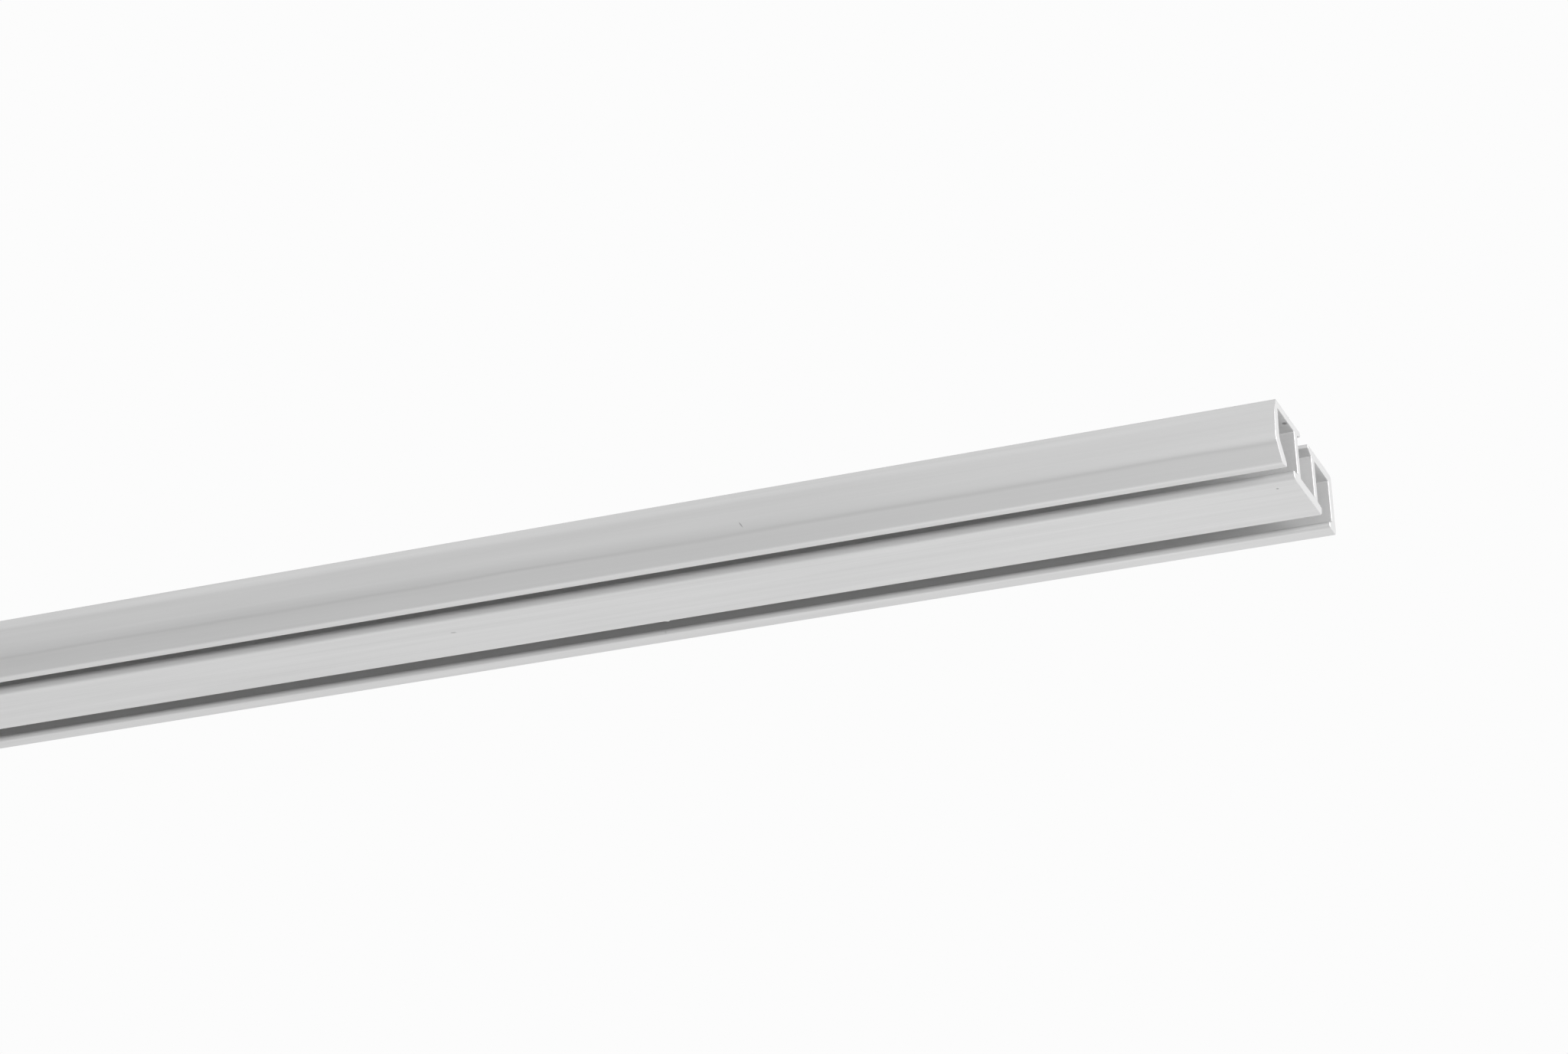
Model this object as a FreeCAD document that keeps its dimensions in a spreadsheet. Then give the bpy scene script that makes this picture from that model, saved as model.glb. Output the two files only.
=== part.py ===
"""Double-channel aluminium curtain track, one extruded length.

The rail is one piece of extruded aluminium, cut square at both ends. Its section has two glider
channels side by side, each open downward through a glider slot. Two webs and a flange join them,
and the top walls reach past the webs as lips, so that the middle is a T-slot for ceiling clips.
The front wall is bowed and thickens into a foot that is the front lip. The back wall is straight,
with a short lip turned inward.

Frame, in millimetres: +X along the rail, +Y from the front wall to the back wall, +Z to the
ceiling. The origin is on the underside, at the middle of the length and of the overall width.
"""

import FreeCAD, Part
import math
import os
import Sketcher

# Driving dimensions in mm: alias, value, meaning
SIZES = [
    ("rail_length", 600.0, "length of the cut rail"),
    ("rail_width", 34.0, "overall width, front bow to back face"),
    ("rail_height", 9.0, "underside to top face"),
    ("front_top_wall", 1.15, "thickness of the top wall over the front channel"),
    ("back_top_wall", 1.42, "thickness of the top wall over the back channel"),
    ("top_lip_root", 1.25, "thickness of the top lips at the webs"),
    ("top_lip_tip", 0.6, "thickness of the top lips at their tips"),
    ("flange_rise", 0.1, "flange's lower face above the underside"),
    ("flange_wall", 1.5, "thickness of the flange between the glider slots"),
    ("flange_tip", 1.3, "thickness of the flange at its tips"),
    ("web_wall", 1.75, "thickness of each web"),
    ("back_wall", 2.2, "thickness of the straight back wall"),
    ("front_slot", 4.1, "width of the front glider slot"),
    ("back_slot", 4.5, "width of the back glider slot"),
    ("clip_slot", 4.35, "width of the slot for the ceiling clips"),
    ("clip_channel", 8.15, "inside width between the webs"),
    ("front_top_lip", 2.15, "reach of the front top wall past its web"),
    ("front_flange_lip", 2.35, "reach of the flange past the front web"),
    ("front_bow", 2.0, "how far the front wall bows out past the top edge"),
    ("bow_sink", 1.0, "centre of the bow, below half the height"),
    ("bow_radius", 1.8, "outer radius of the bow"),
    ("shoulder_drop", 1.8, "shoulder line of the front wall, down from the top edge"),
    ("shoulder_out", 1.35, "shoulder line, out from the top edge"),
    ("inner_top_offset", 0.6, "front wall's inner top corner, in from the top edge"),
    ("inner_bow_offset", 0.15, "corner inside the bow, in from the top edge"),
    ("lip_root_offset", 1.8, "root of the front lip, in from the top edge"),
    ("lip_root_rise", 2.2, "height of the front lip's root"),
    ("front_lip_reach", 3.35, "tip of the front lip, in from the top edge"),
    ("front_lip_tip", 0.65, "thickness of the front lip at its tip"),
    ("front_foot", 2.4, "width of the front lip's foot"),
    ("foot_rise", 0.35, "lower edge of the front lip above the underside"),
    ("back_lip_reach", 1.7, "reach of the back lip past its wall"),
    ("back_lip_height", 0.9, "height of the back lip's tip"),
    ("back_lip_rise", 0.55, "extra height of the back lip at its wall"),
    ("tip_round", 1.0, "radius under the flange tips"),
    ("foot_bend", 1.0, "radius where the front wall turns into its foot"),
    ("foot_round", 0.25, "radius of the front lip's lower edge"),
    ("corner_round", 0.7, "radius of the back wall's outer corners"),
    ("shoulder_round", 2.0, "radius of the front wall's shoulder"),
    ("inner_bow_round", 1.2, "radius inside the bow"),
    ("edge_round", 0.2, "radius of the remaining edges and inside corners"),
]

# Reference points of the section, as (name, y rule, z rule). A rule is (from, factor, alias).
REFERENCES = [
    ("front_limit", ("origin", -0.5, "rail_width"), ("origin", 0, None)),
    ("back_limit", ("origin", 0.5, "rail_width"), ("origin", 0, None)),
    ("half_height", ("origin", 0, None), ("origin", 0.5, "rail_height")),
]

BOW_CENTRE = ("bow_centre", ("front_limit", 1, "bow_radius"), ("half_height", -1, "bow_sink"))

# Corners of the section from the top edge at the front, round the back to the front lip's foot.
# The bow and the shoulder close it.
CORNERS = [
    ("front_top", ("front_limit", 1, "front_bow"), ("origin", 1, "rail_height")),
    ("clip_front_top", ("web_front_top", 1, "front_top_lip"), ("front_top", 0, None)),
    ("clip_front_low", ("clip_front_top", 0, None), ("front_top", -1, "top_lip_tip")),
    ("web_front_top", ("web_front_low", 0, None), ("front_top", -1, "top_lip_root")),
    ("web_front_low", ("channel_front_low", 1, "web_wall"), ("flange_front_bottom", 1, "flange_wall")),
    ("web_back_low", ("web_front_low", 1, "clip_channel"), ("web_front_low", 0, None)),
    ("web_back_top", ("web_back_low", 0, None), ("web_front_top", 0, None)),
    ("clip_back_low", ("clip_back_top", 0, None), ("clip_front_low", 0, None)),
    ("clip_back_top", ("clip_front_top", 1, "clip_slot"), ("front_top", 0, None)),
    ("back_top", ("back_limit", 0, None), ("front_top", 0, None)),
    ("back_bottom", ("back_limit", 0, None), ("origin", 0, None)),
    ("back_lip_bottom", ("back_lip_root", -1, "back_lip_reach"), ("origin", 0, None)),
    ("back_lip_tip", ("back_lip_bottom", 0, None), ("origin", 1, "back_lip_height")),
    ("back_lip_root", ("back_limit", -1, "back_wall"), ("back_lip_tip", 1, "back_lip_rise")),
    ("back_inner_top", ("back_lip_root", 0, None), ("front_top", -1, "back_top_wall")),
    ("channel_back_top", ("channel_back_low", 0, None), ("back_inner_top", 0, None)),
    ("channel_back_low", ("web_back_low", 1, "web_wall"), ("web_front_low", 0, None)),
    ("flange_back_top", ("flange_back_bottom", 0, None), ("flange_back_bottom", 1, "flange_tip")),
    ("flange_back_bottom", ("back_lip_bottom", -1, "back_slot"), ("flange_front_bottom", 0, None)),
    ("flange_front_bottom", ("front_lip_bottom", 1, "front_slot"), ("origin", 1, "flange_rise")),
    ("flange_front_top", ("flange_front_bottom", 0, None), ("flange_back_top", 0, None)),
    ("channel_front_low", ("flange_front_bottom", 1, "front_flange_lip"), ("web_front_low", 0, None)),
    ("channel_front_top", ("channel_front_low", 0, None), ("front_inner_top", 0, None)),
    ("front_inner_top", ("front_top", 1, "inner_top_offset"), ("front_top", -1, "front_top_wall")),
    ("inner_bow", ("front_top", 1, "inner_bow_offset"), ("bow_centre", 0, None)),
    ("front_lip_root", ("front_top", 1, "lip_root_offset"), ("origin", 1, "lip_root_rise")),
    ("front_lip_tip", ("front_lip_bottom", 0, None), ("front_lip_bottom", 1, "front_lip_tip")),
    ("front_lip_bottom", ("front_top", 1, "front_lip_reach"), ("origin", 1, "foot_rise")),
    ("foot", ("front_lip_bottom", -1, "front_foot"), ("origin", 0, None)),
]
SHOULDER = ("shoulder", ("front_top", -1, "shoulder_out"), ("front_top", -1, "shoulder_drop"))

# Rounded edges, as (feature, radius alias, the wall that limits it, most of that wall, corners)
ROUNDS = [
    ("tip_rounds", "tip_round", "flange_tip", 0.8, ["flange_front_bottom", "flange_back_bottom"]),
    ("foot_bends", "foot_bend", None, None, ["foot"]),
    ("foot_rounds", "foot_round", "front_lip_tip", 0.65, ["front_lip_bottom"]),
    ("back_rounds", "corner_round", "back_wall", 0.45, ["back_top", "back_bottom"]),
    ("shoulder_rounds", "shoulder_round", None, None, ["shoulder"]),
    ("bow_rounds", "inner_bow_round", None, None, ["inner_bow"]),
    (
        "edge_rounds",
        "edge_round",
        "top_lip_tip",
        0.45,
        [
            "front_top",
            "clip_front_top",
            "clip_front_low",
            "clip_back_low",
            "clip_back_top",
            "flange_front_top",
            "flange_back_top",
            "front_lip_tip",
            "back_lip_bottom",
            "back_lip_tip",
        ],
    ),
    (
        "inside_rounds",
        "edge_round",
        None,
        None,
        [
            "web_front_top",
            "web_front_low",
            "web_back_low",
            "web_back_top",
            "back_lip_root",
            "back_inner_top",
            "channel_back_top",
            "channel_back_low",
            "channel_front_low",
            "channel_front_top",
            "front_inner_top",
            "front_lip_root",
        ],
    ),
]


def make_sheet(doc):
    """Write each driving dimension as a plain number with an alias."""
    sheet = doc.addObject("Spreadsheet::Sheet", "Sizes")
    for row, (alias, value, meaning) in enumerate(SIZES, start=1):
        sheet.set(f"A{row}", meaning)
        sheet.set(f"B{row}", str(value))
        sheet.setAlias(f"B{row}", alias)
    doc.recompute()
    return sheet


def first_places(sheet):
    """Where each named point of the section lies, as {name: (y, z)}, worked out from its rules."""
    every_point = [*REFERENCES, BOW_CENTRE, SHOULDER, *CORNERS]
    rules = {name: (y_rule, z_rule) for name, y_rule, z_rule in every_point}

    def coordinate(name, which):
        if name == "origin":
            return 0.0
        source, factor, alias = rules[name][which]
        step = factor * float(getattr(sheet, alias)) if alias else 0.0
        return coordinate(source, which) + step

    return {name: (coordinate(name, 0), coordinate(name, 1)) for name in rules}


def tangent_angle(point, centre, radius, side):
    """Angle on a circle at which a line from an outside point touches it; side is 1 or -1."""
    dy, dz = point[0] - centre[0], point[1] - centre[1]
    return math.atan2(dz, dy) + side * math.acos(radius / math.hypot(dy, dz))


def hold(sketch, points, name, y_rule, z_rule):
    """Constrain one named point by its two rules, each bound to its cell of the sheet."""
    kinds = (("DistanceX", "Vertical"), ("DistanceY", "Horizontal"))
    for (source, factor, alias), (distance, in_line) in zip((y_rule, z_rule), kinds):
        if alias is None:
            sketch.addConstraint(Sketcher.Constraint(in_line, *points[source], *points[name]))
            continue
        first, last = (source, name) if factor > 0 else (name, source)
        index = sketch.addConstraint(Sketcher.Constraint(distance, *points[first], *points[last], 1.0))
        share = "" if abs(factor) == 1 else f" * {abs(factor)}"
        sketch.setExpression(f"Constraints[{index}]", f"Sizes.{alias}{share}")


def draw_section(sketch, sheet):
    """Draw the closed section with its bow, fully constrained; return {corner: (geometry, point)}."""
    places = first_places(sheet)

    def vector(name):
        return FreeCAD.Vector(*places[name], 0)

    points = {"origin": (-1, 1)}
    for name, *_ in REFERENCES:
        points[name] = (sketch.addGeometry(Part.Point(vector(name)), True), 1)

    names = [name for name, *_ in CORNERS]
    for name, following in zip(names, names[1:]):
        points[name] = (sketch.addGeometry(Part.LineSegment(vector(name), vector(following))), 1)
    points[names[-1]] = (points[names[-2]][0], 2)
    for name, following in zip(names[:-2], names[1:-1]):
        sketch.addConstraint(Sketcher.Constraint("Coincident", points[name][0], 2, points[following][0], 1))

    radius = float(sheet.bow_radius)
    centre = places["bow_centre"]
    upper = tangent_angle(places["shoulder"], centre, radius, 1)
    lower = tangent_angle(places["foot"], centre, radius, -1) + 2 * math.pi
    circle = Part.Circle(vector("bow_centre"), FreeCAD.Vector(0, 0, 1), radius)
    on_circle = [
        FreeCAD.Vector(centre[0] + radius * math.cos(a), centre[1] + radius * math.sin(a), 0)
        for a in (upper, lower)
    ]
    bow = sketch.addGeometry(Part.ArcOfCircle(circle, upper, lower))
    foot_line = sketch.addGeometry(Part.LineSegment(vector("foot"), on_circle[1]))
    face_line = sketch.addGeometry(Part.LineSegment(on_circle[0], vector("shoulder")))
    edge_line = sketch.addGeometry(Part.LineSegment(vector("shoulder"), vector("front_top")))
    points["bow_centre"] = (bow, 3)
    points["shoulder"] = (edge_line, 1)
    sketch.addConstraint(Sketcher.Constraint("Coincident", *points["foot"], foot_line, 1))
    sketch.addConstraint(Sketcher.Constraint("Tangent", foot_line, 2, bow, 2))
    sketch.addConstraint(Sketcher.Constraint("Tangent", bow, 1, face_line, 1))
    sketch.addConstraint(Sketcher.Constraint("Coincident", face_line, 2, edge_line, 1))
    sketch.addConstraint(Sketcher.Constraint("Coincident", edge_line, 2, *points["front_top"]))
    bow_size = sketch.addConstraint(Sketcher.Constraint("Radius", bow, radius))
    sketch.setExpression(f"Constraints[{bow_size}]", "Sizes.bow_radius")

    for name, y_rule, z_rule in [*REFERENCES, *CORNERS, SHOULDER, BOW_CENTRE]:
        hold(sketch, points, name, y_rule, z_rule)
    return points


def long_edges(shape, places):
    """Names of the edges that run along the rail at the given (y, z) places."""
    near = 1e-4
    found = []
    for number, edge in enumerate(shape.Edges, start=1):
        start, end = (vertex.Point for vertex in (edge.Vertexes[0], edge.Vertexes[-1]))
        along = abs(start.x - end.x) > near and math.hypot(start.y - end.y, start.z - end.z) < near
        if along and any(math.hypot(start.y - y, start.z - z) < near for y, z in places):
            found.append(f"Edge{number}")
    return found


def make_rail(doc, sheet):
    """Pad the section to the rail's length and round its edges."""
    body = doc.addObject("PartDesign::Body", "rail_profile")
    body.Label = "rail_profile"
    section = body.newObject("Sketcher::SketchObject", "section")
    plane = next(item for item in body.Origin.OriginFeatures if item.Role == "YZ_Plane")
    section.AttachmentSupport = [(plane, "")]
    section.MapMode = "FlatFace"
    points = draw_section(section, sheet)
    doc.recompute()

    pad = body.newObject("PartDesign::Pad", "extrusion")
    pad.Profile = section
    pad.SideType = "Symmetric"
    pad.setExpression("Length", "Sizes.rail_length")
    doc.recompute()

    base = pad
    for name, alias, wall, share, corners in ROUNDS:
        places = [tuple(section.getPoint(*points[corner]))[:2] for corner in corners]
        edges = long_edges(base.Shape, places)
        if len(edges) != len(corners):
            raise ValueError(f"{name} found {len(edges)} of its {len(corners)} edges")
        rounds = body.newObject("PartDesign::Fillet", name)
        rounds.Base = (base, edges)
        radius = f"min(Sizes.{alias}; Sizes.{wall} * {share})" if wall else f"Sizes.{alias}"
        rounds.setExpression("Radius", radius)
        doc.recompute()
        base = rounds
    body.Tip = base
    return body


def check(doc, parts):
    """Stop on any failed feature, or on a sub-part that is empty, invalid or not one solid."""
    for item in doc.Objects:
        if {"Invalid", "Error"} & set(item.State):
            raise ValueError(f"{item.Name} failed: {item.State}")
    for part in parts:
        if part.Shape.isNull() or not part.Shape.isValid() or len(part.Shape.Solids) != 1:
            raise ValueError(f"{part.Label} has no valid single solid")


def main():
    doc = FreeCAD.newDocument("curtain_track")
    sheet = make_sheet(doc)
    parts = [make_rail(doc, sheet)]
    doc.recompute()
    check(doc, parts)
    os.makedirs("parts", exist_ok=True)
    for part in parts:
        part.Shape.exportStep(f"parts/{part.Label}.step")
        box = part.Shape.BoundBox
        print(part.Label, f"volume {part.Shape.Volume:.1f} mm3, faces {len(part.Shape.Faces)},", box)


main()
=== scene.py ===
"""Looks of a double-channel curtain rail: one length of extruded aluminium, sawn square at both ends.

The rail hangs the way it is fixed, ceiling side up and glider slots down, and the camera looks up
at it from in front and below. Its section is drawn from the same sizes as the solid that it
stands for, with finer curves, and the finish is made of nodes only.

Lengths are in millimetres wherever a name or a comment doesn't say metres.
"""

import math

import bmesh
import bpy
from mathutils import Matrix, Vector


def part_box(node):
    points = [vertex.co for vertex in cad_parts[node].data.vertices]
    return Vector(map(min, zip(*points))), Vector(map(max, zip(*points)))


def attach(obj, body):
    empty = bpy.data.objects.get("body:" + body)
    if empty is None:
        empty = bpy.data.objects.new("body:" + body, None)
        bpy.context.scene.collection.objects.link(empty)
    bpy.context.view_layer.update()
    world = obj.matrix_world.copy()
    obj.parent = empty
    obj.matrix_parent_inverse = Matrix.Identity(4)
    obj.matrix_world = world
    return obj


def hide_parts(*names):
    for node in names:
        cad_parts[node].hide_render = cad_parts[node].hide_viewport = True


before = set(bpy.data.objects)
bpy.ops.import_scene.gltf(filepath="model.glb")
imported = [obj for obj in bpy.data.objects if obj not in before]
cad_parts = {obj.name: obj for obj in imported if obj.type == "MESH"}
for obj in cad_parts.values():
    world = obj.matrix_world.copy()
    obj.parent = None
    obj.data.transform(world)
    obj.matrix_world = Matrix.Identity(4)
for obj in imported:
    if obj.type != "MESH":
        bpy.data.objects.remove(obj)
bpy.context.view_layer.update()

MM = 0.001  # metres in a millimetre
NODE = "rail_profile"

# Outside sizes of the rail, read from the frame
LOW, HIGH = (tuple(c / MM for c in corner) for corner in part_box(NODE))
LENGTH, WIDTH, HEIGHT = (high - low for low, high in zip(LOW, HIGH))

# Section of the rail
FRONT_TOP_WALL = 1.15
BACK_TOP_WALL = 1.42
TOP_LIP_ROOT = 1.25
TOP_LIP_TIP = 0.6
FLANGE_RISE = 0.1
FLANGE_WALL = 1.5
FLANGE_TIP = 1.3
WEB_WALL = 1.75
BACK_WALL = 2.2
FRONT_SLOT = 4.1
BACK_SLOT = 4.5
CLIP_SLOT = 4.35
CLIP_CHANNEL = 8.15
FRONT_TOP_LIP = 2.15
FRONT_FLANGE_LIP = 2.35
FRONT_BOW = 2.0
BOW_SINK = 1.0
BOW_RADIUS = 1.8
SHOULDER_DROP = 1.8
SHOULDER_OUT = 1.35
INNER_TOP_OFFSET = 0.6
INNER_BOW_OFFSET = 0.15
LIP_ROOT_OFFSET = 1.8
LIP_ROOT_RISE = 2.2
FRONT_LIP_REACH = 3.35
FRONT_LIP_TIP = 0.65
FRONT_FOOT = 2.4
FOOT_RISE = 0.35
BACK_LIP_REACH = 1.7
BACK_LIP_HEIGHT = 0.9
BACK_LIP_RISE = 0.55
TIP_ROUND = 1.0
FOOT_BEND = 1.0
FOOT_ROUND = 0.25
CORNER_ROUND = 0.7
SHOULDER_ROUND = 2.0
INNER_BOW_ROUND = 1.2
EDGE_ROUND = 0.2
BACK_LIP_ROUND = 0.65  # the slot's soft shading shows this edge rounder than the others
ARC_STEP = math.radians(9)  # turn of the outline from one point of an arc to the next

# Places across the width that more than one function needs
FRONT_EDGE = FRONT_BOW - WIDTH / 2  # top edge of the front wall
BACK_LIP = WIDTH / 2 - BACK_WALL - BACK_LIP_REACH
FLANGE_BACK = BACK_LIP - BACK_SLOT

CUT_CHAMFER = 0.08  # edge that the saw leaves, broken by hand

# Burr on the flange's back edge
BURR_PLACE = 201.5  # of its middle, along the rail
BURR_HALF = 0.4  # half its length
BURR_CREST = 0.08  # how far its crest lies past its middle
BURR_OUT = 0.35

# Marks on the faces: centre, half sizes, turn about the width (degrees) and how dark
MARKS = [
    ((223.5, -17.0, 3.3), (0.1, 1.5, 0.62), -33, 0.5),  # scratch across the front
    ((171.3, -1.9, 0.1), (0.6, 0.4, 0.3), 0, 0.3),  # speck under the flange
    ((297.0, -5.0, 0.1), (0.25, 0.3, 0.3), 0, 0.55),  # speck under the flange, beside the cut
    ((246.2, -7.4, 0.2), (0.22, 0.3, 0.3), 0, 0.4),  # speck on the flange's front edge
    ((299.5, -8.6, 7.85), (0.4, 0.6, 0.3), 0, 0.6),  # speck on the front channel's ceiling
    ((199.0, 13.1, 0.3), (0.25, 0.3, 0.3), 0, 0.15),  # speck on the back lip's edge
]
MARK_CORE = 0.4  # share of a mark's size inside which it is at its darkest
# colour of the marks, and also of the painted shade line
MARK_AND_SHADE_COLOUR = "#5C5C5C"

# Grain of each pattern along the rail, across it and up
DIE_LINES = (83.33, 0.4167, 0.4167)
DIE_BANDS = (50.0, 2.381, 2.381)
# the next grain is the wander of the painted shade line
SHADE_LINE_WANDER = (33.33, math.inf, math.inf)
SAW_MARKS = (2.0, 3.333, 0.25)

# Extruded finish, from its darkest streaks to its lightest
STREAK_COLOURS = ("#D2D2D2", "#D8D8D8")
STREAK_ROUGHNESS = (0.63, 0.57)
STREAK_LEVELS = (0.45, 0.95)  # of the fine lines and the bands together
LINES_WEIGHT = 0.4  # of the fine lines, beside 1 for the bands
STREAK_DEPTH = 0.03
STREAK_STRENGTH = 0.1

# Painted shade: a darker line painted along the lower front
SHADE_LINE_HEIGHTS = (1.9, 2.6)  # between which it wanders
SHADE_LINE_HALF = 0.3
SHADE_LINE_DEPTH = 0.08

# Sawn finish
SAWN_COLOURS = ("#E8E8E8", "#F2F2F2")
SAWN_ROUGHNESS = 0.5
SAW_DEPTH = 0.03
SAW_STRENGTH = 0.2

# The room's light: direction, level (1 is white) and how narrow that side is
ROOM = [
    ((1, -0.35, -0.2), 0.80, 4.0),  # beyond the near end
    ((-1, 0, 0), 0.95, 2.0),  # beyond the far end
    ((0, -1, 0), 0.62, 2.0),  # in front
    ((0, 0, 1), 1.00, 2.0),  # above
    ((0, 0, -1), 0.50, 2.0),  # below
    ((0, 1, -1), 1.48, 4.0),  # behind and below, what the flange mirrors
]
BEHIND = (0, 1, 0)  # the backdrop's side
BEHIND_POWER = 2.0  # how narrow it is
WHITE = "#FCFCFC"

# Softbox, level with the rail: sizes and places in metres, power in watts
SOFTBOX_SIZE = (0.45, 0.16)
SOFTBOX_POWER = 5.2
SOFTBOX_PLACE = (0.75, -0.23, -0.03)
SOFTBOX_AIM = (0.28, 0.0, 0.0)

# Floor, in metres
FLOOR_HALF = 60.0
FLOOR_HEIGHT = -1.8
FLOOR_COLOUR = "#F4F4F4"
FLOOR_ROUGHNESS = 0.9
FLOOR_GLOW = 0.35  # towards the camera only

# Camera: place in metres, turn in degrees
CAMERA_PLACE = (0.3919, -0.4445, -0.1674)
CAMERA_TURN = (110.332, 2.007, 21.492)
LENS = 80.58
SENSOR_WIDTH = 36.0
CLIP_START = 0.01  # metres


def linear(hex_colour):
    """An sRGB hex colour as linear RGBA."""
    channels = [int(hex_colour[i : i + 2], 16) / 255 for i in (1, 3, 5)]
    return [c / 12.92 if c <= 0.04045 else ((c + 0.055) / 1.055) ** 2.4 for c in channels] + [1.0]


def add(tree, kind, inputs=None, **settings):
    """Add one node: its settings, then its inputs, each a plain value or another node's output."""
    node = tree.nodes.new(kind)
    for name, value in settings.items():
        setattr(node, name, value)
    for socket, value in (inputs or {}).items():
        if isinstance(value, bpy.types.NodeSocket):
            tree.links.new(value, node.inputs[socket])
        else:
            node.inputs[socket].default_value = value
    return node


def section_corners():
    """Corners of the section as (y, z, radius), from the front top edge round the back to the foot."""
    half = WIDTH / 2
    top_lip = HEIGHT - TOP_LIP_TIP
    top_lip_root = HEIGHT - TOP_LIP_ROOT
    channel_top = HEIGHT - BACK_TOP_WALL
    flange_top = FLANGE_RISE + FLANGE_WALL
    tip_top = FLANGE_RISE + FLANGE_TIP
    front_inner_top = HEIGHT - FRONT_TOP_WALL
    lip_front = FRONT_EDGE + FRONT_LIP_REACH
    flange_front = lip_front + FRONT_SLOT
    front_web = flange_front + FRONT_FLANGE_LIP
    clip_front = front_web + WEB_WALL
    clip_back = clip_front + CLIP_CHANNEL
    back_web = clip_back + WEB_WALL
    slot_front = clip_front + FRONT_TOP_LIP
    slot_back = slot_front + CLIP_SLOT
    back_inner = half - BACK_WALL
    return [
        (FRONT_EDGE, HEIGHT, EDGE_ROUND),
        (slot_front, HEIGHT, EDGE_ROUND),
        (slot_front, top_lip, EDGE_ROUND),
        (clip_front, top_lip_root, EDGE_ROUND),
        (clip_front, flange_top, EDGE_ROUND),
        (clip_back, flange_top, EDGE_ROUND),
        (clip_back, top_lip_root, EDGE_ROUND),
        (slot_back, top_lip, EDGE_ROUND),
        (slot_back, HEIGHT, EDGE_ROUND),
        (half, HEIGHT, CORNER_ROUND),
        (half, 0, CORNER_ROUND),
        (BACK_LIP, 0, BACK_LIP_ROUND),
        (BACK_LIP, BACK_LIP_HEIGHT, EDGE_ROUND),
        (back_inner, BACK_LIP_HEIGHT + BACK_LIP_RISE, EDGE_ROUND),
        (back_inner, channel_top, EDGE_ROUND),
        (back_web, channel_top, EDGE_ROUND),
        (back_web, flange_top, EDGE_ROUND),
        (FLANGE_BACK, tip_top, EDGE_ROUND),
        (FLANGE_BACK, FLANGE_RISE, TIP_ROUND),
        (flange_front, FLANGE_RISE, TIP_ROUND),
        (flange_front, tip_top, EDGE_ROUND),
        (front_web, flange_top, EDGE_ROUND),
        (front_web, front_inner_top, EDGE_ROUND),
        (FRONT_EDGE + INNER_TOP_OFFSET, front_inner_top, EDGE_ROUND),
        (FRONT_EDGE + INNER_BOW_OFFSET, HEIGHT / 2 - BOW_SINK, INNER_BOW_ROUND),
        (FRONT_EDGE + LIP_ROOT_OFFSET, LIP_ROOT_RISE, EDGE_ROUND),
        (lip_front, FOOT_RISE + FRONT_LIP_TIP, EDGE_ROUND),
        (lip_front, FOOT_RISE, FOOT_ROUND),
        (lip_front - FRONT_FOOT, 0, FOOT_BEND),
    ]


def bow_corner(foot, shoulder, centre, radius):
    """The corner where the tangents from the foot and the shoulder to the bow's circle meet."""

    def touch(point, side):
        away = Vector(point) - centre
        angle = math.atan2(away.y, away.x) + side * math.acos(radius / away.length)
        return Vector((math.cos(angle), math.sin(angle)))

    low, high = touch(foot, -1), touch(shoulder, 1)
    middle = (low + high).normalized()
    return centre + middle * (radius / middle.dot(low))


def outline():
    """The closed section as points (y, z): every corner is an arc of its own radius."""
    corners = section_corners()
    shoulder = (FRONT_EDGE - SHOULDER_OUT, HEIGHT - SHOULDER_DROP)
    centre = Vector((BOW_RADIUS - WIDTH / 2, HEIGHT / 2 - BOW_SINK))
    foot = corners[-1][:2]
    corners.append((*bow_corner(foot, shoulder, centre, BOW_RADIUS), BOW_RADIUS))
    corners.append((*shoulder, SHOULDER_ROUND))

    points = []
    for number, (y, z, radius) in enumerate(corners):
        here = Vector((y, z))
        before = (Vector(corners[number - 1][:2]) - here).normalized()
        after = (Vector(corners[(number + 1) % len(corners)][:2]) - here).normalized()
        opening = before.angle(after)
        middle = here + (before + after).normalized() * (radius / math.sin(opening / 2))
        start = here + before * (radius / math.tan(opening / 2)) - middle
        turn = math.pi - opening
        side = 1 if before.x * after.y - before.y * after.x < 0 else -1
        steps = max(2, math.ceil(turn / ARC_STEP))
        for step in range(steps + 1):
            angle = side * turn * step / steps
            cos, sin = math.cos(angle), math.sin(angle)
            points.append(middle + Vector((start.x * cos - start.y * sin, start.x * sin + start.y * cos)))
    return points


def shrunk(points, amount):
    """The outline moved into the metal by an amount."""
    inner = []
    for number, here in enumerate(points):
        before = (here - points[number - 1]).normalized()
        after = (points[(number + 1) % len(points)] - here).normalized()
        across = (before + after).normalized()
        inner.append(here + Vector((across.y, -across.x)) * amount)
    return inner


def with_burr(points):
    """The outline with the lower part of the flange's back edge pulled out."""
    pulled = []
    for point in points:
        near = abs(point.x - FLANGE_BACK) < TIP_ROUND and point.y < FLANGE_TIP / 2
        pulled.append(point + Vector((BURR_OUT, 0)) if near else point)
    return pulled


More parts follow.
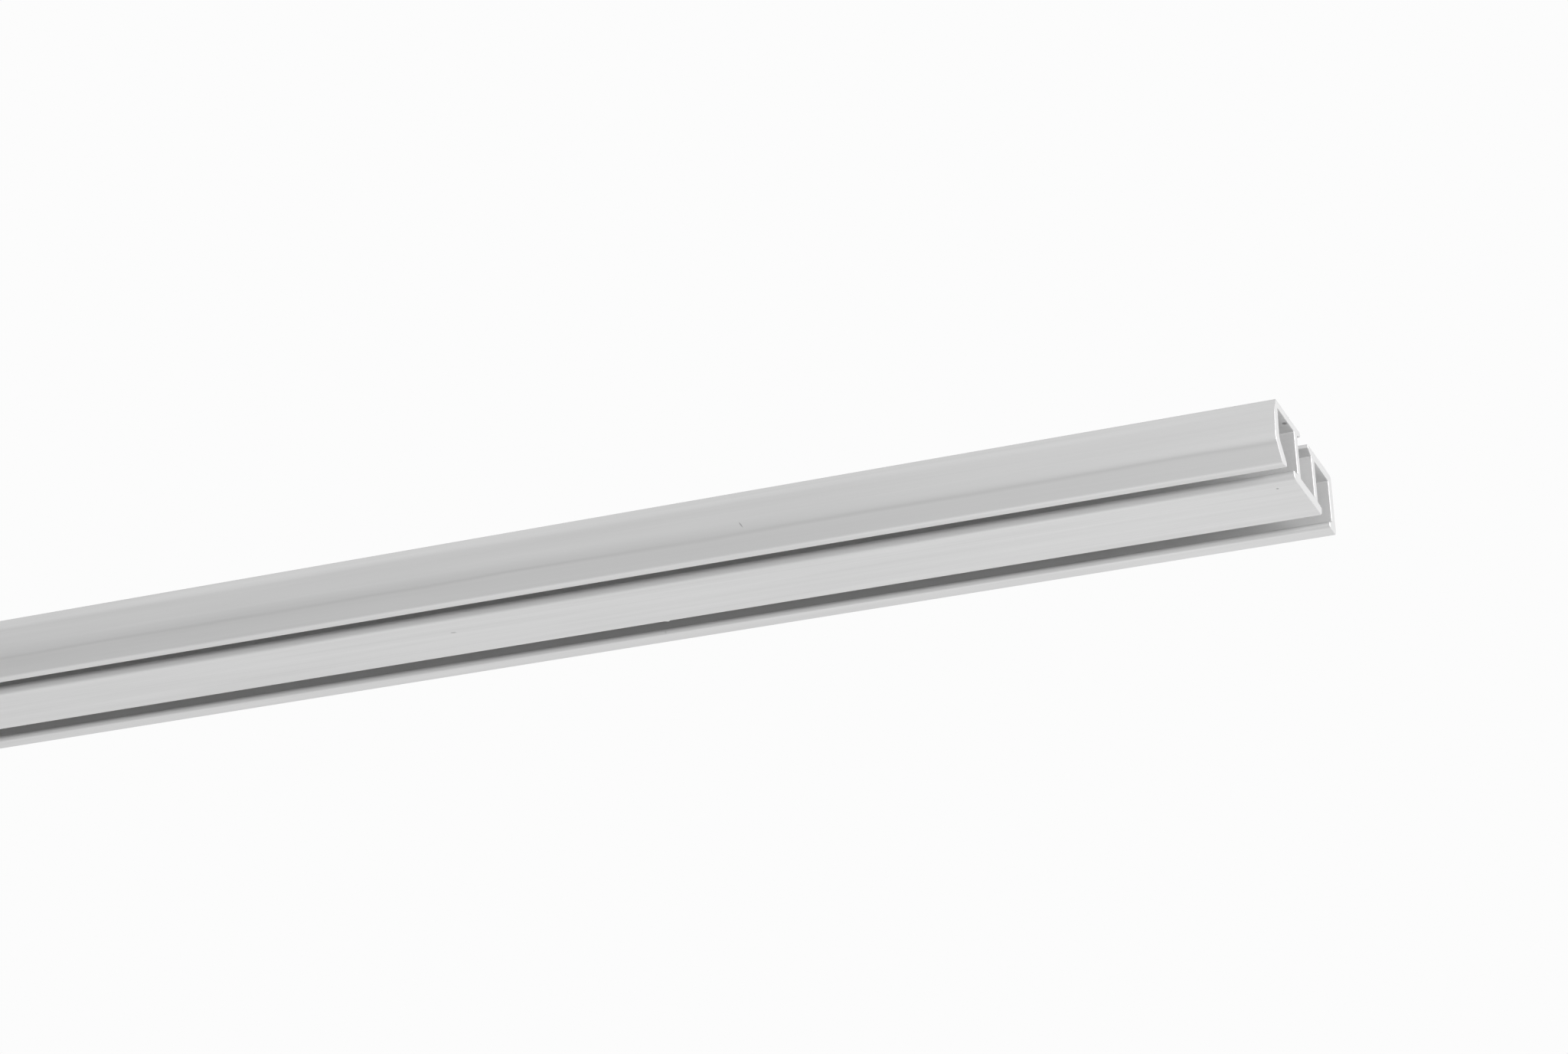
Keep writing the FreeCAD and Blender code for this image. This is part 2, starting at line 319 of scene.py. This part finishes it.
def rail_mesh():
    """The rail: rings of the outline along its length, closed by the two sawn faces."""
    points = outline()
    end = LENGTH / 2
    rings = [
        (-end, shrunk(points, CUT_CHAMFER)),
        (CUT_CHAMFER - end, points),
        (BURR_PLACE - BURR_HALF, points),
        (BURR_PLACE + BURR_CREST, with_burr(points)),
        (BURR_PLACE + BURR_HALF, points),
        (end - CUT_CHAMFER, points),
        (end, shrunk(points, CUT_CHAMFER)),
    ]
    bm = bmesh.new()
    loops = [[bm.verts.new(Vector((x, *p)) * MM) for p in ring] for x, ring in rings]
    for ring, following in zip(loops, loops[1:]):
        for number, corner in enumerate(ring):
            beside = number - 1
            bm.faces.new((corner, following[number], following[beside], ring[beside]))
    for ring in (loops[0], loops[-1]):
        cut = bm.faces.new(ring)
        cut.material_index = 1
    bmesh.ops.recalc_face_normals(bm, faces=bm.faces)
    for face in bm.faces:
        face.smooth = True
    for edge in bm.edges:
        edge.smooth = not any(face.material_index for face in edge.link_faces)
    caps = [face for face in bm.faces if face.material_index]
    bmesh.ops.triangulate(bm, faces=caps)
    mesh = bpy.data.meshes.new("curtain_rail")
    bm.to_mesh(mesh)
    bm.free()
    return mesh


def material(name):
    """A new node material; returns it with its tree and its shader."""
    made = bpy.data.materials.new(name)
    made.use_nodes = True
    return made, made.node_tree, made.node_tree.nodes["Principled BSDF"]


def streaks(tree, place, grain, detail):
    """Noise between 0 and 1 with its own grain along each direction."""
    per_metre = [1 / (size * MM) for size in grain]
    fine = add(tree, "ShaderNodeVectorMath", {0: place, 1: per_metre}, operation="MULTIPLY").outputs[0]
    return add(tree, "ShaderNodeTexNoise", {"Vector": fine, "Scale": 1.0, "Detail": detail}).outputs["Fac"]


def mark(tree, place, centre, half_sizes, turn):
    """1 inside an ellipsoid at a place on the rail, soft towards its surface, 0 outside."""
    inside = {
        "Vector": place,
        "Location": Vector(centre) * MM,
        "Rotation": (0, math.radians(turn), 0),
        "Scale": Vector(half_sizes) * MM,
    }
    local = add(tree, "ShaderNodeMapping", inside, vector_type="TEXTURE").outputs[0]
    away = add(tree, "ShaderNodeVectorMath", {0: local}, operation="LENGTH").outputs["Value"]
    limits = {"Value": away, "From Min": 1.0, "From Max": MARK_CORE}
    return add(tree, "ShaderNodeMapRange", limits, interpolation_type="SMOOTHSTEP").outputs[0]


def extruded_aluminium():
    """Satin aluminium, pressed through a die: soft reflections, with faint lines along the length."""
    made, tree, shader = material("extruded_aluminium")
    shader.inputs["Metallic"].default_value = 1.0
    place = add(tree, "ShaderNodeTexCoord").outputs["Object"]

    # Die lines are hundredths of a millimetre wide; drawn about 0.4 mm wide, to be seen at all
    lines = streaks(tree, place, DIE_LINES, 3.0)
    bands = streaks(tree, place, DIE_BANDS, 2.0)
    sum_of = {0: lines, 1: LINES_WEIGHT, 2: bands}
    both = add(tree, "ShaderNodeMath", sum_of, operation="MULTIPLY_ADD").outputs[0]
    darkest, lightest = STREAK_LEVELS
    levels = {"Value": both, "From Min": darkest, "From Max": lightest}
    tone = add(tree, "ShaderNodeMapRange", levels).outputs[0]

    # A colour mix takes its share in socket 0 and its two colours in sockets 6 and 7
    dark_metal, light_metal = (linear(colour) for colour in STREAK_COLOURS)
    metals = {0: tone, 6: dark_metal, 7: light_metal}
    metal = add(tree, "ShaderNodeMix", metals, data_type="RGBA").outputs[2]
    dullest, glossiest = STREAK_ROUGHNESS
    rough = add(tree, "ShaderNodeMapRange", {"Value": tone, "To Min": dullest, "To Max": glossiest})
    heights = {"Height": both, "Strength": STREAK_STRENGTH, "Distance": STREAK_DEPTH * MM}
    relief = add(tree, "ShaderNodeBump", heights)

    # Painted shade: one darker line along the lower front, which wanders a little
    wander = streaks(tree, place, SHADE_LINE_WANDER, 2.0)
    lowest, highest = SHADE_LINE_HEIGHTS
    reach = {"Value": wander, "To Min": lowest * MM, "To Max": highest * MM}
    shade_line_at = add(tree, "ShaderNodeMapRange", reach).outputs[0]
    along = add(tree, "ShaderNodeSeparateXYZ", {0: place}).outputs
    above = add(tree, "ShaderNodeMath", {0: along["Z"], 1: shade_line_at}, operation="SUBTRACT").outputs[0]
    away = add(tree, "ShaderNodeMath", {0: above}, operation="ABSOLUTE").outputs[0]
    edges = {"Value": away, "From Min": SHADE_LINE_HALF * MM, "From Max": 0.0}
    line = add(tree, "ShaderNodeMapRange", edges).outputs[0]
    outside = {0: along["Y"], 1: FRONT_EDGE * MM}
    front = add(tree, "ShaderNodeMath", outside, operation="LESS_THAN").outputs[0]
    here = add(tree, "ShaderNodeMath", {0: line, 1: front}, operation="MULTIPLY").outputs[0]
    shade = {0: here, 1: SHADE_LINE_DEPTH}
    dark = add(tree, "ShaderNodeMath", shade, operation="MULTIPLY").outputs[0]

    for centre, half_sizes, turn, depth in MARKS:
        spot = {0: mark(tree, place, centre, half_sizes, turn), 1: depth, 2: dark}
        dark = add(tree, "ShaderNodeMath", spot, operation="MULTIPLY_ADD").outputs[0]
    # The marks and the painted shade line both darken the metal towards this colour
    darkened = {0: dark, 6: metal, 7: linear(MARK_AND_SHADE_COLOUR)}
    marked_and_shaded = add(tree, "ShaderNodeMix", darkened, data_type="RGBA")
    tree.links.new(marked_and_shaded.outputs[2], shader.inputs["Base Color"])
    tree.links.new(rough.outputs[0], shader.inputs["Roughness"])
    tree.links.new(relief.outputs[0], shader.inputs["Normal"])
    return made


def sawn_aluminium():
    """The same alloy where the saw has just cut it: bright, with fine marks across the rail."""
    made, tree, shader = material("sawn_aluminium")
    shader.inputs["Metallic"].default_value = 1.0
    shader.inputs["Roughness"].default_value = SAWN_ROUGHNESS
    place = add(tree, "ShaderNodeTexCoord").outputs["Object"]

    # Teeth leave marks under 0.1 mm apart; drawn about 0.25 mm apart
    marks = streaks(tree, place, SAW_MARKS, 2.0)
    dark_metal, light_metal = (linear(colour) for colour in SAWN_COLOURS)
    metals = {0: marks, 6: dark_metal, 7: light_metal}
    metal = add(tree, "ShaderNodeMix", metals, data_type="RGBA")
    heights = {"Height": marks, "Strength": SAW_STRENGTH, "Distance": SAW_DEPTH * MM}
    relief = add(tree, "ShaderNodeBump", heights)
    tree.links.new(metal.outputs[2], shader.inputs["Base Color"])
    tree.links.new(relief.outputs[0], shader.inputs["Normal"])
    return made


def make_rail():
    """The rail in its two finishes, standing for the frame's solid."""
    rail = bpy.data.objects.new("curtain_rail", rail_mesh())
    bpy.context.scene.collection.objects.link(rail)
    rail.data.materials.append(extruded_aluminium())
    rail.data.materials.append(sawn_aluminium())
    keep_flat = rail.modifiers.new("flat_walls", "WEIGHTED_NORMAL")
    keep_flat.keep_sharp = True
    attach(rail, "root")
    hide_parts(NODE)


def make_camera():
    """The photograph's view, looking up at the rail's near end."""
    data = bpy.data.cameras.new("camera")
    data.sensor_width = SENSOR_WIDTH
    data.lens = LENS
    data.clip_start = CLIP_START
    camera = bpy.data.objects.new("camera", data)
    camera.location = CAMERA_PLACE
    camera.rotation_euler = [math.radians(turn) for turn in CAMERA_TURN]
    bpy.context.scene.collection.objects.link(camera)
    bpy.context.scene.camera = camera


def make_floor():
    """A plain pale floor, far enough down that every view of the rail stays above it."""
    data = bpy.data.meshes.new("floor")
    ends = (-FLOOR_HALF, FLOOR_HALF)
    corners = [(x, y, FLOOR_HEIGHT) for x in ends for y in ends]
    data.from_pydata(corners, [], [(0, 2, 3, 1)])
    floor = bpy.data.objects.new("floor", data)
    bpy.context.scene.collection.objects.link(floor)
    floor.visible_glossy = False  # the metal shows the room's own level below instead
    made, tree, shader = material("pale_floor")
    shader.inputs["Base Color"].default_value = linear(FLOOR_COLOUR)
    shader.inputs["Roughness"].default_value = FLOOR_ROUGHNESS
    # Seen straight, the floor glows a little, to be as white as the backdrop and still take shadows
    seen = add(tree, "ShaderNodeLightPath").outputs["Is Camera Ray"]
    glow = add(tree, "ShaderNodeMath", {0: seen, 1: FLOOR_GLOW}, operation="MULTIPLY").outputs[0]
    shader.inputs["Emission Color"].default_value = linear("#FFFFFF")
    tree.links.new(glow, shader.inputs["Emission Strength"])
    data.materials.append(made)


def make_softbox():
    """A wide softbox beyond the rail's near end, whose light also falls into the open channels."""
    data = bpy.data.lights.new("softbox", "AREA")
    data.shape = "RECTANGLE"
    data.size, data.size_y = SOFTBOX_SIZE
    data.energy = SOFTBOX_POWER
    lamp = bpy.data.objects.new("softbox", data)
    lamp.location = SOFTBOX_PLACE
    towards_rail = Vector(SOFTBOX_AIM) - lamp.location
    lamp.rotation_euler = towards_rail.to_track_quat("-Z", "Y").to_euler()
    lamp.visible_camera = False
    bpy.context.scene.collection.objects.link(lamp)


def facing(tree, direction, axis, power):
    """How far a direction looks along an axis: 1 straight along it, falling to 0 at right angles."""
    both = {0: direction, 1: Vector(axis).normalized()}
    cosine = add(tree, "ShaderNodeVectorMath", both, operation="DOT_PRODUCT").outputs["Value"]
    ahead = add(tree, "ShaderNodeMath", {0: cosine, 1: 0.0}, operation="MAXIMUM").outputs[0]
    return add(tree, "ShaderNodeMath", {0: ahead, 1: power}, operation="POWER").outputs[0]


def make_world():
    """A bright room: the camera sees it white, and the metal mirrors white only from behind the rail."""
    world = bpy.data.worlds.new("studio")
    bpy.context.scene.world = world
    world.use_nodes = True
    tree = world.node_tree
    tree.nodes.clear()
    direction = add(tree, "ShaderNodeTexCoord").outputs["Generated"]
    level = 0.0  # before any side is added
    for axis, side_level, power in ROOM:
        side = {0: facing(tree, direction, axis, power), 1: side_level, 2: level}
        level = add(tree, "ShaderNodeMath", side, operation="MULTIPLY_ADD").outputs[0]
    room = add(tree, "ShaderNodeBackground", {"Color": level}).outputs[0]
    white = add(tree, "ShaderNodeBackground", {"Color": linear(WHITE)}).outputs[0]

    path = add(tree, "ShaderNodeLightPath").outputs
    rays = {0: path["Is Glossy Ray"], 1: path["Is Transmission Ray"]}
    mirrored = add(tree, "ShaderNodeMath", rays, operation="MAXIMUM").outputs[0]
    from_behind = {0: mirrored, 1: facing(tree, direction, BEHIND, BEHIND_POWER)}
    shown = add(tree, "ShaderNodeMath", from_behind, operation="MULTIPLY").outputs[0]
    either = {0: path["Is Camera Ray"], 1: shown}
    seen = add(tree, "ShaderNodeMath", either, operation="MAXIMUM").outputs[0]
    mixed = add(tree, "ShaderNodeMixShader", {0: seen, 1: room, 2: white}).outputs[0]
    add(tree, "ShaderNodeOutputWorld", {"Surface": mixed})


bpy.context.scene.view_settings.view_transform = "Standard"
make_rail()
make_camera()
make_floor()
make_softbox()
make_world()
